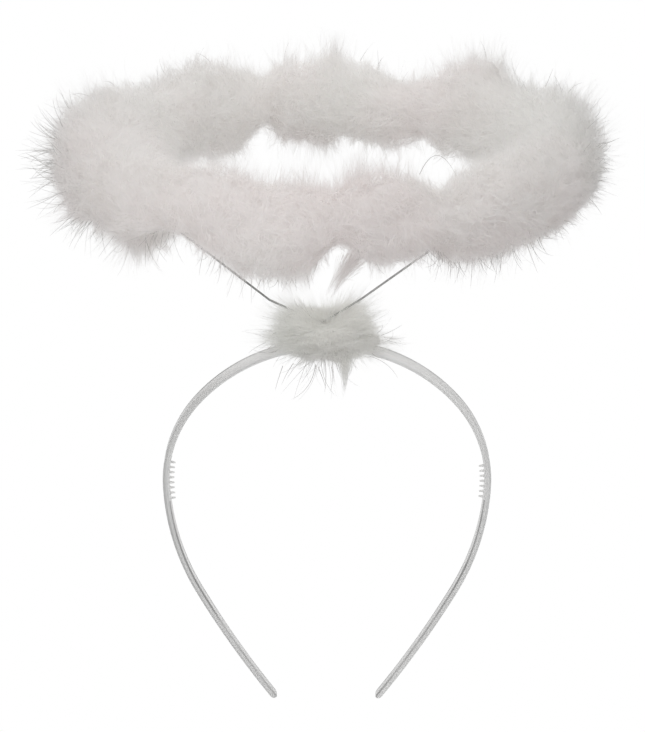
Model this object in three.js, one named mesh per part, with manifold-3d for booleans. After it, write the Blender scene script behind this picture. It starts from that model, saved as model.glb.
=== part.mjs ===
// Halo headband: a slim plastic hair hoop, a wire hoop held above it by two wires, and white marabou
// down round the wire hoop and round the place where the wires are fastened.
// Millimetres. The origin is the crown of the head: the middle of the hair hoop's inner face at its top.
// +Z is up, +X is to the viewer's right and +Y is to the back. The hair hoop stands in the XZ plane.

import * as THREE from 'three';
import { mergeVertices } from 'three/addons/utils/BufferGeometryUtils.js';
import Module from 'manifold-3d';

const wasm = await Module();
wasm.setup();

// Hair hoop
const bandWidth = 127.4; // outside, where the hoop is widest
const crownDepth = 8; // front to back at the crown
const tipDepth = 5.5; // front to back near the tips
const crownThickness = 2.7;
const tipThickness = 2.4;
const tipRounding = 2.4; // length over which a tip rounds off
const bandStep = 6; // distance between sections along the hoop

// One side of the hoop from the crown down: arcs that meet smoothly, radii as shares of bandWidth.
const bandArcs = [
  { stretch: 'crown', radius: 0.521, sweep: 49 },
  { stretch: 'temple', radius: 0.397, sweep: 43.3 },
  { stretch: 'behind the ear', radius: 0.79, sweep: 26.5 },
  { stretch: 'leg', radius: 3.15, sweep: 7.95 },
];

// Combs of small teeth on the inner face, one on each side, centred where the hoop is widest
const toothPitch = 2.2;
const toothLength = 1.9;
const toothRootWidth = 1.3;
const toothTipWidth = 0.7;
const toothRooting = 0.5; // how far a tooth is let into the hoop
const combs = [
  { side: 'left', teeth: 8 },
  { side: 'right', teeth: 7 },
];

// Wires
const clearance = 0.3; // between any two pieces
const hoopRadius = 84.6; // to the middle of the wire
const hoopHeight = 72.3; // above the crown of the head
const hoopWire = 0.9;
const stemWire = 0.8;
const fasteningPlace = -8.4; // along the hair hoop from its middle, to the left
const fasteningTurns = 2;
const stemRise = { left: 8.6, right: 5 }; // of the first bend of each stem, above the turns
const hookSweep = 300; // degrees that a stem's end goes round the wire hoop
const wireSides = 6;
const hoopSteps = 72;

// Further bends of the stems: sag is how far they lie below the straight line from the first bend to the
// wire hoop, both in shares of its length.
const stemBends = [
  { side: 'left', along: 0.035, sag: -0.007 },
  { side: 'left', along: 0.15, sag: 0.02 },
  { side: 'left', along: 0.58, sag: 0.022 },
  { side: 'right', along: 0.065, sag: 0.018 },
  { side: 'right', along: 0.215, sag: 0.023 },
  { side: 'right', along: 0.5, sag: 0.011 },
];

// Feather ring
const boaReach = 20; // from the wire hoop out to the points of its locks
const boaHollows = 0.74; // depth of the hollows between locks, as a share of the reach
const boaLockRows = 48; // pairs of locks round the ring
const boaLockColumns = 8; // pairs of locks round the section
const boaSweep = 5; // how far the points of the locks lie over along the ring

// Lumps and dips of the down, as shares of the reach. at and spread are degrees round the ring from the
// right, by the back; side says which way the lump or dip faces.
const boaLumps = [
  { at: 13, side: 'up', spread: 13, swell: 0.3 },
  { at: 13, side: 'out', spread: 12, swell: 0.1 },
  { at: 48, side: 'up', spread: 13, swell: 0.3 },
  { at: 67, side: 'up', spread: 9, swell: -0.45 },
  { at: 92, side: 'up', spread: 6, swell: 0.12 },
  { at: 113, side: 'up', spread: 5, swell: -0.4 },
  { at: 129, side: 'up', spread: 13, swell: 0.3 },
  { at: 164, side: 'up', spread: 13, swell: 0.25 },
  { at: 165, side: 'out', spread: 12, swell: 0.1 },
  { at: 180, side: 'in', spread: 28, swell: 0.32 },
  { at: 90, side: 'down', spread: 55, swell: -0.36 },
  { at: 105, side: 'down', spread: 5, swell: -0.28 },
  { at: 190, side: 'down', spread: 13, swell: -0.22 },
  { at: 217, side: 'down', spread: 8, swell: 0.12 },
  { at: 233, side: 'down', spread: 9, swell: -0.68 },
  { at: 255, side: 'down', spread: 9, swell: 0.1 },
  { at: 273, side: 'down', spread: 4, swell: -0.7 },
  { at: 286, side: 'down', spread: 8, swell: -0.4 },
  { at: 303, side: 'down', spread: 14, swell: -0.22 },
  { at: 345, side: 'down', spread: 25, swell: -0.28 },
  { at: 350, side: 'out', spread: 30, swell: -0.07 },
  { at: 270, side: 'up', spread: 45, swell: -0.1 },
];

// Long locks that stand out of the ring one by one. They reach past the hollows round them by length and
// lean along the ring, in shares of boaReach and of their own length.
const boaStrays = [
  { at: 90, side: 'up', length: 0.6, lean: -0.1 },
  { at: 47, side: 'up', length: 0.45, lean: 0.3 },
  { at: 131, side: 'up', length: 0.4, lean: -0.3 },
  { at: 214, side: 'down', length: 0.45, lean: 0.2 },
  { at: 251, side: 'down', length: 0.4, lean: -0.3 },
  { at: 278, side: 'down', length: 0.8, lean: -0.55 },
  { at: 316, side: 'down', length: 0.4, lean: 0.2 },
];
const boaStrayWidth = 12;

// Feather tuft at the crown
const tuftHalfLength = 22; // along the hair hoop
const tuftHalfDepth = 13;
const tuftHalfHeight = 11;
const tuftHollows = 0.74; // depth of the hollows between locks, as a share of the tuft's half sizes
const tuftLockRows = 8; // pairs of locks round the hair hoop
const tuftLockColumns = 5; // pairs of locks along it
const tuftSquareness = 3; // 2 is an egg, and more is fuller towards the ends
const tuftShift = -1; // of its middle along the hoop
const tuftRise = 6.3; // of its middle above the crown of the head

// Long locks of the tuft that stand out one by one. Directions are degrees from the right towards up, as
// seen from the front, and towards the front; length is in shares of tuftHalfHeight.
const tuftStrays = [
  { turn: 184, forward: 10, length: 0.3 },
  { turn: 146, forward: 0, length: 0.3 },
  { turn: 35, forward: 5, length: 0.4 },
  { turn: -13, forward: 0, length: 0.55 },
  { turn: -72, forward: 10, length: 1.45 },
  { turn: -115, forward: 20, length: 0.35 },
];
const tuftStrayWidth = 7;

const degrees = Math.PI / 180;
const sideSign = { left: -1, right: 1 };

// Solids and meshes

function solidFrom(geometry) {
  const bare = geometry.clone();
  bare.deleteAttribute('normal');
  bare.deleteAttribute('uv');
  const welded = mergeVertices(bare, 1e-4);
  return new wasm.Manifold(new wasm.Mesh({
    numProp: 3,
    vertProperties: new Float32Array(welded.attributes.position.array),
    triVerts: new Uint32Array(welded.index.array),
  }));
}

function meshFrom(name, solid, material) {
  const cut = solid.getMesh();
  const geometry = new THREE.BufferGeometry();
  geometry.setAttribute('position', new THREE.BufferAttribute(new Float32Array(cut.vertProperties), 3));
  geometry.setIndex(new THREE.BufferAttribute(new Uint32Array(cut.triVerts), 1));
  geometry.computeVertexNormals();
  const mesh = new THREE.Mesh(geometry, material);
  mesh.name = name;
  return mesh;
}

function fuse(solids) {
  return solids.reduce((whole, solid) => whole.add(solid));
}

// The hair hoop's middle line

// Lays the arcs end to end from the crown, x and z from the middle of the hoop's crown section.
function layArcs(scale) {
  const laid = [];
  let from = { x: 0, z: 0, heading: 0, along: 0 };
  for (const arc of bandArcs) {
    const radius = arc.radius * scale;
    laid.push({ ...from, radius });
    const heading = from.heading + arc.sweep * degrees;
    from = {
      x: from.x + radius * (Math.sin(heading) - Math.sin(from.heading)),
      z: from.z - radius * (Math.cos(from.heading) - Math.cos(heading)),
      heading,
      along: from.along + radius * arc.sweep * degrees,
    };
  }
  return { laid, length: from.along };
}

// The place, along one side, where the hoop runs straight down, which is its widest.
function widestPlace({ laid }) {
  const arc = laid.findLast((candidate) => candidate.heading < Math.PI / 2);
  return {
    x: arc.x + arc.radius * (1 - Math.sin(arc.heading)),
    along: arc.along + arc.radius * (Math.PI / 2 - arc.heading),
  };
}

const unitLine = layArcs(1);
const unitWidest = widestPlace(unitLine);
const widestThickness = THREE.MathUtils.lerp(
  crownThickness, tipThickness, unitWidest.along / unitLine.length);
const bandScale = (bandWidth - widestThickness) / 2 / unitWidest.x;
const bandLine = layArcs(bandScale);
const combPlace = widestPlace(bandLine).along;

const depthAt = (along) => THREE.MathUtils.lerp(crownDepth, tipDepth, Math.abs(along) / bandLine.length);
const thicknessAt = (along) =>
  THREE.MathUtils.lerp(crownThickness, tipThickness, Math.abs(along) / bandLine.length);

// A point in the hoop's own terms: along it from the crown, out from its middle line, and to the back.
function bandPoint(along, out, back) {
  const distance = Math.abs(along);
  const side = along < 0 ? -1 : 1;
  const arc = bandLine.laid.findLast((candidate) => candidate.along <= distance);
  const heading = arc.heading + (distance - arc.along) / arc.radius;
  const x = arc.x + arc.radius * (Math.sin(heading) - Math.sin(arc.heading));
  const z = arc.z - arc.radius * (Math.cos(arc.heading) - Math.cos(heading));
  return new THREE.Vector3(
    side * (x + out * Math.sin(heading)),
    back,
    crownThickness / 2 + z + out * Math.cos(heading),
  );
}

// The hoop's section: a flat strip with half-round edges, drawn with edge radius 1 and half depth 2.
function stripShape() {
  const shape = new THREE.Shape();
  shape.moveTo(-1, -1);
  shape.lineTo(1, -1);
  shape.absarc(1, 0, 1, -Math.PI / 2, Math.PI / 2, false);
  shape.lineTo(-1, 1);
  shape.absarc(-1, 0, 1, Math.PI / 2, 1.5 * Math.PI, false);
  return shape;
}

// Sweeps the strip through stations along the hoop, each larger all round by grow.
function bandSweep(stations, grow) {
  const geometry = new THREE.ExtrudeGeometry(stripShape(), {
    depth: stations.length - 1,
    steps: stations.length - 1,
    curveSegments: 2,
    bevelEnabled: false,
  });
  const position = geometry.attributes.position;
  for (let i = 0; i < position.count; i += 1) {
    const { along, size } = stations[Math.round(position.getZ(i))];
    const edge = (thicknessAt(along) / 2 + grow) * size;
    const flat = (depthAt(along) / 2 + grow) * size - edge;
    const across = position.getX(i);
    const straight = THREE.MathUtils.clamp(across, -1, 1);
    const point = bandPoint(along, position.getY(i) * edge, straight * flat + (across - straight) * edge);
    position.setXYZ(i, point.x, point.y, point.z);
  }
  return solidFrom(geometry);
}

// Even stations between two places along the hoop.
function evenStations(from, to, step) {
  const count = Math.ceil((to - from) / step);
  return Array.from({ length: count + 1 }, (_, i) => ({ along: from + ((to - from) * i) / count, size: 1 }));
}

// Stations from tip to tip: close together where the tips round off, then even.
function wholeBandStations() {
  const rightTip = [30, 52, 70].map((angle) => ({
    along: bandLine.length - tipRounding * (1 - Math.sin(angle * degrees)),
    size: Math.cos(angle * degrees),
  }));
  const leftTip = rightTip.map(({ along, size }) => ({ along: -along, size })).reverse();
  const straight = bandLine.length - tipRounding;
  return [...leftTip, ...evenStations(-straight, straight, bandStep), ...rightTip];
}

function combTooth(along) {
  const inner = -thicknessAt(along) / 2;
  const root = bandPoint(along, inner + toothRooting, 0);
  const tip = bandPoint(along, inner - toothLength, 0);
  const inward = tip.clone().sub(root);
  const geometry = new THREE.CylinderGeometry(toothTipWidth / 2, toothRootWidth / 2, inward.length(), 6);
  geometry.translate(0, inward.length() / 2, 0);
  geometry.applyQuaternion(
    new THREE.Quaternion().setFromUnitVectors(new THREE.Vector3(0, 1, 0), inward.normalize()));
  geometry.translate(root.x, root.y, root.z);
  return solidFrom(geometry);
}

function headbandSolid() {
  const teeth = combs.flatMap(({ side, teeth: count }) => Array.from({ length: count }, (_, i) =>
    combTooth(sideSign[side] * (combPlace + toothPitch * (i - (count - 1) / 2)))));
  return fuse([bandSweep(wholeBandStations(), 0), ...teeth]);
}

// Wires

// A line whose sections stand at its own points, so that tight bends get as many as they need.
class WireLine extends THREE.CatmullRomCurve3 {
  getUtoTmapping(share) {
    return share;
  }
}

function wireTube(points, radius) {
  const shape = new THREE.Shape();
  shape.absarc(0, 0, radius, 0, 2 * Math.PI, false);
  return solidFrom(new THREE.ExtrudeGeometry(shape, {
    extrudePath: new WireLine(points, false, 'centripetal'),
    steps: points.length - 1,
    curveSegments: wireSides / 2,
  }));
}

// A ring of round section about the upright axis, at the wire hoop's height.
function hoopRing(sectionRadius) {
  const profile = Array.from({ length: wireSides + 1 }, (_, i) => new THREE.Vector2(
    hoopRadius + sectionRadius * Math.cos((i * 2 * Math.PI) / wireSides),
    sectionRadius * Math.sin((i * 2 * Math.PI) / wireSides),
  ));
  const geometry = new THREE.LatheGeometry(profile, hoopSteps);
  geometry.rotateX(90 * degrees);
  geometry.translate(0, 0, hoopHeight);
  return solidFrom(geometry);
}

const turnPitch = stemWire + clearance; // between the middles of wires that lie side by side
const fasteningLength = fasteningTurns * turnPitch;
const turnGap = clearance + stemWire / 2; // from the hair hoop's surface to the middle of a turn

// The wire's turns round the hair hoop, from the left stem to the right one.
function fasteningPoints() {
  const edge = thicknessAt(fasteningPlace) / 2 + turnGap;
  const flat = depthAt(fasteningPlace) / 2 + turnGap - edge;
  const corners = [0, 30, 60, 90, 120, 150, 180].map((angle) => ({
    back: flat + edge * Math.sin(angle * degrees),
    out: edge * Math.cos(angle * degrees),
  }));
  const turn = [...corners, ...corners.map(({ back, out }) => ({ back: -back, out: -out }))];
  const allTurns = Array.from({ length: fasteningTurns }, () => turn).flat();
  return allTurns.map(({ back, out }, i) => bandPoint(
    fasteningPlace + fasteningLength * (i / (allTurns.length - 1) - 0.5), out, back));
}

// The middle line of one stem from its first bend to the end of its hook round the wire hoop.
function stemPoints(side) {
  const sign = sideSign[side];
  const firstOut = thicknessAt(fasteningPlace) / 2 + turnGap + stemRise[side];
  const first = bandPoint(fasteningPlace, firstOut, (-sign * turnPitch) / 2);
  const hoopSide = new THREE.Vector3(sign * hoopRadius, 0, hoopHeight);
  const line = hoopSide.clone().sub(first);
  const below = new THREE.Vector3(sign * line.z, 0, -Math.abs(line.x));
  const bends = stemBends.filter((bend) => bend.side === side).map(({ along, sag }) =>
    first.clone().addScaledVector(line, along).addScaledVector(below, sag));
  const last = bends[bends.length - 1];
  const hookRadius = hoopWire / 2 + turnGap;
  const toBend = new THREE.Vector2(sign * (last.x - hoopSide.x), last.z - hoopSide.z);
  const start = toBend.angle() + Math.acos(hookRadius / toBend.length());
  const hookSteps = 10;
  const hook = Array.from({ length: hookSteps + 1 }, (_, i) => {
    const angle = start + (hookSweep * degrees * i) / hookSteps;
    return new THREE.Vector3(
      hoopSide.x + sign * hookRadius * Math.cos(angle),
      (turnPitch * i) / hookSteps,
      hoopSide.z + hookRadius * Math.sin(angle),
    );
  });
  return { bends: [first, ...bends], hook };
}

const turns = fasteningPoints();
const leftStem = stemPoints('left');
const rightStem = stemPoints('right');

function stemSolid() {
  const leftDown = [...leftStem.bends, ...leftStem.hook].reverse();
  const rightUp = [...rightStem.bends, ...rightStem.hook];
  return wireTube([...leftDown, ...turns, ...rightUp], stemWire / 2);
}

// The room that a stem needs where it passes through down: low, from the turns to its last bend, and
// high, from its last bend to its hook.
function stemChannels({ bends, hook }, lastTurn) {
  const radius = (stemWire / 2 + clearance) / Math.cos(Math.PI / wireSides);
  return {
    low: wireTube([lastTurn, ...bends], radius),
    high: wireTube([bends[bends.length - 1], hook[0]], radius),
  };
}

const leftChannels = stemChannels(leftStem, turns[0]);
const rightChannels = stemChannels(rightStem, turns[turns.length - 1]);

// The room that a hook needs round the wire hoop, at one side of it.
function hookPocket(side) {
  const sides = 12;
  const radius = (hoopWire / 2 + 2 * turnGap) / Math.cos(Math.PI / sides);
  const geometry = new THREE.CylinderGeometry(radius, radius, turnPitch + 2 * turnGap, sides);
  geometry.translate(sideSign[side] * hoopRadius, turnPitch / 2, hoopHeight);
  return solidFrom(geometry);
}

// Locks of down

// A share from 0 to 1 that differs from lock to lock in no order, the same each time.
function scatter(row, column) {
  const wave = Math.sin(row * 12.9898 + column * 78.233) * 43758.5453;
  return wave - Math.floor(wave);
}

// Down is a net of points. Every second one is the point of a lock and the rest are the hollows between.
const isLockPoint = (row, column) => (row + column) % 2 === 0;

function shagDepth(row, column, hollows) {
  const uneven = scatter(row, column);
  return isLockPoint(row, column) ? 0.92 + 0.14 * uneven : hollows * (0.94 + 0.12 * uneven);
}

// A long lock: a cone rooted below the surface, with its point bent over towards lean.
function longLock({ root, direction, lean, width, length }) {
  const geometry = new THREE.ConeGeometry(width / 2, length, 6, 3);
  geometry.translate(0, length / 2, 0);
  geometry.applyQuaternion(
    new THREE.Quaternion().setFromUnitVectors(new THREE.Vector3(0, 1, 0), direction));
  const position = geometry.attributes.position;
  const point = new THREE.Vector3();
  for (let i = 0; i < position.count; i += 1) {
    point.fromBufferAttribute(position, i);
    const height = Math.max(0, point.dot(direction) / length);
    point.addScaledVector(lean, height * height * length).add(root);
    position.setXYZ(i, point.x, point.y, point.z);
  }
  return solidFrom(geometry);
}

// Feather ring

const facing = { out: 0, up: 90, in: 180, down: 270 };

// Reach of the down from the wire hoop, at an angle round the ring and an angle round the section.
function reachAt(ringAngle, sectionAngle) {
  const swell = boaLumps.reduce((sum, lump) => {
    const apart = THREE.MathUtils.euclideanModulo(ringAngle - lump.at + 180, 360) - 180;
    const faces = Math.max(0, Math.cos((sectionAngle - facing[lump.side]) * degrees));
    return sum + lump.swell * Math.exp(-((apart / lump.spread) ** 2)) * faces;
  }, 0);
  return boaReach * (1 + swell);
}

// Directions at an angle round the ring and an angle round the section.
function ringFrame(ringAngle, sectionAngle) {
  const outward = new THREE.Vector3(Math.cos(ringAngle * degrees), Math.sin(ringAngle * degrees), 0);
  const middle = outward.clone().multiplyScalar(hoopRadius).setZ(hoopHeight);
  const away = outward.clone().multiplyScalar(Math.cos(sectionAngle * degrees));
  away.z = Math.sin(sectionAngle * degrees);
  const onward = new THREE.Vector3(-outward.y, outward.x, 0);
  return { middle, away, onward };
}

// The ring of down: a torus whose net of points stands out in locks, all lying over one way or the other.
function boaBodySolid() {
  const rows = 2 * boaLockRows;
  const columns = 2 * boaLockColumns;
  const geometry = new THREE.TorusGeometry(hoopRadius, 1, columns, rows);
  const position = geometry.attributes.position;
  for (let i = 0; i < position.count; i += 1) {
    const ringTurn = Math.atan2(position.getY(i), position.getX(i)) / (2 * Math.PI);
    const outward = Math.hypot(position.getX(i), position.getY(i)) - hoopRadius;
    const sectionTurn = Math.atan2(position.getZ(i), outward) / (2 * Math.PI);
    const row = THREE.MathUtils.euclideanModulo(Math.round(ringTurn * rows), rows);
    const column = THREE.MathUtils.euclideanModulo(Math.round(sectionTurn * columns), columns);
    const { middle, away, onward } = ringFrame((row * 360) / rows, (column * 360) / columns);
    const depth = shagDepth(row, column, boaHollows);
    const liesOver = isLockPoint(row, column) ? boaSweep * (2 * scatter(column, row) - 1) : 0;
    middle.addScaledVector(away, depth * reachAt((row * 360) / rows, (column * 360) / columns));
    middle.addScaledVector(onward, liesOver);
    position.setXYZ(i, middle.x, middle.y, middle.z);
  }
  return solidFrom(geometry);
}

function boaStray({ at, side, length, lean }) {
  const { middle, away, onward } = ringFrame(at, facing[side]);
  const root = middle.addScaledVector(away, boaHollows * reachAt(at, facing[side]) - boaStrayWidth / 2);
  return longLock({
    root,
    direction: away,
    lean: onward.multiplyScalar(lean),
    width: boaStrayWidth,
    length: boaStrayWidth / 2 + length * boaReach,
  });
}

function boaSolid() {
  return fuse([boaBodySolid(), ...boaStrays.map(boaStray)])
    .subtract(hoopRing(hoopWire / 2 + clearance))
    .subtract(hookPocket('left'))
    .subtract(hookPocket('right'))
    .subtract(leftChannels.high)
    .subtract(rightChannels.high);
}

// Feather tuft

// A point of the tuft, away from its middle, at a share of its half sizes.
function tuftPoint(away, share) {
  const round = Math.hypot(away.y, away.z);
  const size = share / (Math.abs(away.x) ** tuftSquareness + round ** tuftSquareness) ** (1 / tuftSquareness);
  return new THREE.Vector3(
    tuftShift + away.x * size * tuftHalfLength,
    away.y * size * tuftHalfDepth,
    tuftRise + away.z * size * tuftHalfHeight,
  );
}

// The tuft's down: a ball whose poles lie on the hair hoop, with its net of points standing in locks.
function tuftBodySolid() {
  const rows = 2 * tuftLockRows;
  const columns = 2 * tuftLockColumns;
  const geometry = new THREE.SphereGeometry(1, rows, columns);
  geometry.rotateZ(90 * degrees);
  const position = geometry.attributes.position;
  const away = new THREE.Vector3();
  for (let i = 0; i < position.count; i += 1) {
    away.fromBufferAttribute(position, i);
    const row = THREE.MathUtils.euclideanModulo(
      Math.round((Math.atan2(away.z, away.y) / (2 * Math.PI)) * rows), rows);
    const column = Math.round((Math.acos(THREE.MathUtils.clamp(away.x, -1, 1)) / Math.PI) * columns);
    const atPole = column === 0 || column === columns;
    const point = tuftPoint(away, atPole ? tuftHollows : shagDepth(row, column, tuftHollows));
    position.setXYZ(i, point.x, point.y, point.z);
  }
  return solidFrom(geometry);
}

function tuftStray({ turn, forward, length }) {
  const ahead = Math.cos(forward * degrees);
  const away = new THREE.Vector3(
    ahead * Math.cos(turn * degrees), -Math.sin(forward * degrees), ahead * Math.sin(turn * degrees));
  const root = tuftPoint(away, tuftHollows / 2);
  const tip = tuftPoint(away, 1).addScaledVector(away, length * tuftHalfHeight);
  return longLock({
    root,
    direction: tip.clone().sub(root).normalize(),
    lean: new THREE.Vector3(),
    width: tuftStrayWidth,
    length: tip.distanceTo(root),
  });
}

function tuftSolid() {
  const past = 2 * tuftHalfLength;
  const sleeve = bandSweep(evenStations(-past, past, bandStep), clearance);
  const turnsHalf = (fasteningLength + stemWire) / 2 + clearance;
  const pocket = bandSweep(
    evenStations(fasteningPlace - turnsHalf, fasteningPlace + turnsHalf, bandStep),
    clearance + stemWire + clearance);
  return fuse([tuftBodySolid(), ...tuftStrays.map(tuftStray)])
    .subtract(sleeve)
    .subtract(pocket)
    .subtract(leftChannels.low)
    .subtract(rightChannels.low);
}

// Finishes

const whitePlastic = new THREE.MeshStandardMaterial({ color: 0xf1f1ef, roughness: 0.25, metalness: 0 });
const steelWire = new THREE.MeshStandardMaterial({ color: 0xb4b4b2, roughness: 0.35, metalness: 0.9 });
const whiteDown = new THREE.MeshStandardMaterial({ color: 0xf3f0ec, roughness: 1, metalness: 0 });

const headpiece = new THREE.Group();
headpiece.add(
  meshFrom('headband', headbandSolid(), whitePlastic),
  meshFrom('halo_hoop', hoopRing(hoopWire / 2), steelWire),
  meshFrom('stem_wires', stemSolid(), steelWire),
  meshFrom('halo_boa', boaSolid(), whiteDown),
  meshFrom('tuft', tuftSolid(), whiteDown),
);

export default headpiece;
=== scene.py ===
import math

import bpy
import numpy as np
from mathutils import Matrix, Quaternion, Vector
from mathutils.bvhtree import BVHTree


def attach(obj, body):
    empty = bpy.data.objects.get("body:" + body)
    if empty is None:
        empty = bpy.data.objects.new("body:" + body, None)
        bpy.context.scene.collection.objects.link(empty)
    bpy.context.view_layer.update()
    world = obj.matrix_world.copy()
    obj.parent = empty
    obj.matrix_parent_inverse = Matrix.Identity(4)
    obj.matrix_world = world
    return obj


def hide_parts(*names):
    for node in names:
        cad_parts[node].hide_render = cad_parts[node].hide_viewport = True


# Halo headband: a white plastic hair hoop that carries a ring of white marabou down on two thin wires.
# Lengths are in millimetres until a mesh is made; Blender and the CAD frame are in metres.

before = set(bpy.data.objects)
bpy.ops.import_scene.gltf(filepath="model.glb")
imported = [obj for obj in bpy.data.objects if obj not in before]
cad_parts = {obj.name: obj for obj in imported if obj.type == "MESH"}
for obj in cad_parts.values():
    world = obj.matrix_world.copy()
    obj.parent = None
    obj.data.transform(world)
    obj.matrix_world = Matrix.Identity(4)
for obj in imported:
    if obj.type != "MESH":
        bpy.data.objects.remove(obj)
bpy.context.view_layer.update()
seeded = np.random.default_rng(11)
mm = 0.001
fullTurn = 2 * math.pi
tiny = 1e-9  # keeps a division from failing


def table(columns, rows):
    # rows of values as dictionaries, with the columns named once
    names = columns.split()
    return [dict(zip(names, row)) for row in rows]


# Meshes from arrays

def meshPiece(name, points, triangles, material, slotName, stands):
    # stands names the CAD node that the piece is seen for
    mesh = bpy.data.meshes.new(name)
    mesh.vertices.add(len(points))
    mesh.vertices.foreach_set("co", (np.asarray(points, np.float32) * mm).ravel())
    corners = np.asarray(triangles, np.int32)
    mesh.loops.add(corners.size)
    mesh.loops.foreach_set("vertex_index", corners.ravel())
    mesh.polygons.add(len(corners))
    mesh.polygons.foreach_set("loop_start", np.arange(0, corners.size, 3, dtype=np.int32))
    mesh.polygons.foreach_set("use_smooth", np.ones(len(corners), bool))
    mesh.update(calc_edges=True)
    mesh.validate()
    mesh.materials.append(material)
    piece = bpy.data.objects.new(name, mesh)
    bpy.context.scene.collection.objects.link(piece)
    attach(piece, "root")
    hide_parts(stands)
    print(f"{name}: {len(corners)} triangles")
    return piece


def gridTriangles(rows, columns, closedRows, closedColumns):
    # a net of rows x columns points, joined at its edges where it is closed
    row = np.arange(rows if closedRows else rows - 1)
    column = np.arange(columns if closedColumns else columns - 1)
    row, column = (index.ravel() for index in np.meshgrid(row, column, indexing="ij"))
    nextRow = (row + 1) % rows
    nextColumn = (column + 1) % columns
    here = row * columns + column
    ahead = nextRow * columns + column
    beside = row * columns + nextColumn
    opposite = nextRow * columns + nextColumn
    return np.concatenate([np.stack([here, ahead, opposite], 1), np.stack([here, opposite, beside], 1)])


def facingOut(points, triangles):
    # a closed skin with its faces turned outwards
    a, b, c = (points[triangles[:, i]] for i in range(3))
    volume = np.einsum("ij,ij->i", a, np.cross(b, c)).sum() / 6
    return points, triangles if volume > 0 else triangles[:, ::-1]


def joined(parts):
    points, triangles, before = [], [], 0
    for some, faces in parts:
        points.append(some)
        triangles.append(faces + before)
        before += len(some)
    return np.concatenate(points), np.concatenate(triangles)


# Materials

def newMaterial(name):
    material = bpy.data.materials.new(name)
    material.use_nodes = True
    nodes = material.node_tree.nodes
    nodes.clear()
    return material, nodes, material.node_tree.links


def toneRamp(nodes, places, colours):
    # two colours, each at its place between 0 and 1
    ramp = nodes.new("ShaderNodeValToRGB")
    for element, place, colour in zip(ramp.color_ramp.elements, places, colours):
        element.position = place
        element.color = (*colour, 1)
    return ramp


downFinish = {
    "noiseDetail": 3,
    "tintPlaces": (0.36, 0.64),  # of the cool and the warm white in the noise
    "roughness": 0.95,
    "specular": 0.1,
}


def downMaterial(name, settings):
    # barbs in soft patches of cool and warm white, which let part of the light through
    material, nodes, links = newMaterial(name)
    place = nodes.new("ShaderNodeTexCoord")
    patches = nodes.new("ShaderNodeTexNoise")
    patches.inputs["Scale"].default_value = settings["patches"]
    patches.inputs["Detail"].default_value = downFinish["noiseDetail"]
    split = nodes.new("ShaderNodeSeparateXYZ")
    drift = nodes.new("ShaderNodeMath")
    drift.operation = "MULTIPLY_ADD"
    drift.inputs[1].default_value = -settings["warmerInFront"]
    tint = toneRamp(nodes, downFinish["tintPlaces"], (settings["cool"], settings["warm"]))
    soft = nodes.new("ShaderNodeBsdfPrincipled")
    soft.inputs["Roughness"].default_value = downFinish["roughness"]
    soft.inputs["Specular IOR Level"].default_value = downFinish["specular"]
    through = nodes.new("ShaderNodeBsdfTranslucent")
    mix = nodes.new("ShaderNodeMixShader")
    mix.inputs["Fac"].default_value = settings["lightThrough"]
    out = nodes.new("ShaderNodeOutputMaterial")
    links.new(place.outputs["Object"], patches.inputs["Vector"])
    links.new(place.outputs["Object"], split.inputs["Vector"])
    links.new(split.outputs["Y"], drift.inputs[0])
    links.new(patches.outputs["Fac"], drift.inputs[2])
    links.new(drift.outputs["Value"], tint.inputs["Fac"])
    links.new(tint.outputs["Color"], soft.inputs["Base Color"])
    links.new(tint.outputs["Color"], through.inputs["Color"])
    links.new(soft.outputs["BSDF"], mix.inputs[1])
    links.new(through.outputs["BSDF"], mix.inputs[2])
    links.new(mix.outputs["Shader"], out.inputs["Surface"])
    return material


hardTintPlaces = (0.35, 0.65)  # of the dark and the light tone in the noise


def hardMaterial(name, settings):
    material, nodes, links = newMaterial(name)
    place = nodes.new("ShaderNodeTexCoord")
    patches = nodes.new("ShaderNodeTexNoise")
    patches.inputs["Scale"].default_value = settings["patches"]
    tint = toneRamp(nodes, hardTintPlaces, (settings["dark"], settings["light"]))
    shine = nodes.new("ShaderNodeBsdfPrincipled")
    shine.inputs["Roughness"].default_value = settings["roughness"]
    shine.inputs["Metallic"].default_value = settings["metal"]
    out = nodes.new("ShaderNodeOutputMaterial")
    links.new(place.outputs["Object"], patches.inputs["Vector"])
    links.new(patches.outputs["Fac"], tint.inputs["Fac"])
    links.new(tint.outputs["Color"], shine.inputs["Base Color"])
    links.new(shine.outputs["BSDF"], out.inputs["Surface"])
    return material


whiteDown = downMaterial("marabou_down", {
    "cool": (0.949, 0.943, 0.932),
    "warm": (0.955, 0.933, 0.927),
    "patches": 18,
    "warmerInFront": 1.0,  # how far the tint goes to warm, a metre towards the front
    "lightThrough": 0.45,
})
# Painted light: the same down as the ring's in a lighter white, which makes the crown's tuft read brighter
# than the scene's light leaves it
tuftLighterDown = downMaterial("marabou_tuft_painted_light", {
    "cool": (0.962, 0.963, 0.946),
    "warm": (0.966, 0.961, 0.947),
    "patches": 40,
    "warmerInFront": 0,
    "lightThrough": 0.45,
})
# Painted shade: the loose hairs are the same white down, made grey for how dark thin hairs look in shade
# against the bright backdrop
paintedShadeHairs = downMaterial("marabou_hairs_painted_shade", {
    "cool": (0.54, 0.535, 0.52),
    "warm": (0.60, 0.585, 0.575),
    "patches": 60,
    "warmerInFront": 0,
    "lightThrough": 0.2,
})
whitePlastic = hardMaterial("white_plastic", {
    "dark": (0.90, 0.90, 0.893),
    "light": (0.95, 0.95, 0.943),
    "patches": 30,
    "roughness": 0.24,
    "metal": 0,
})
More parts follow.
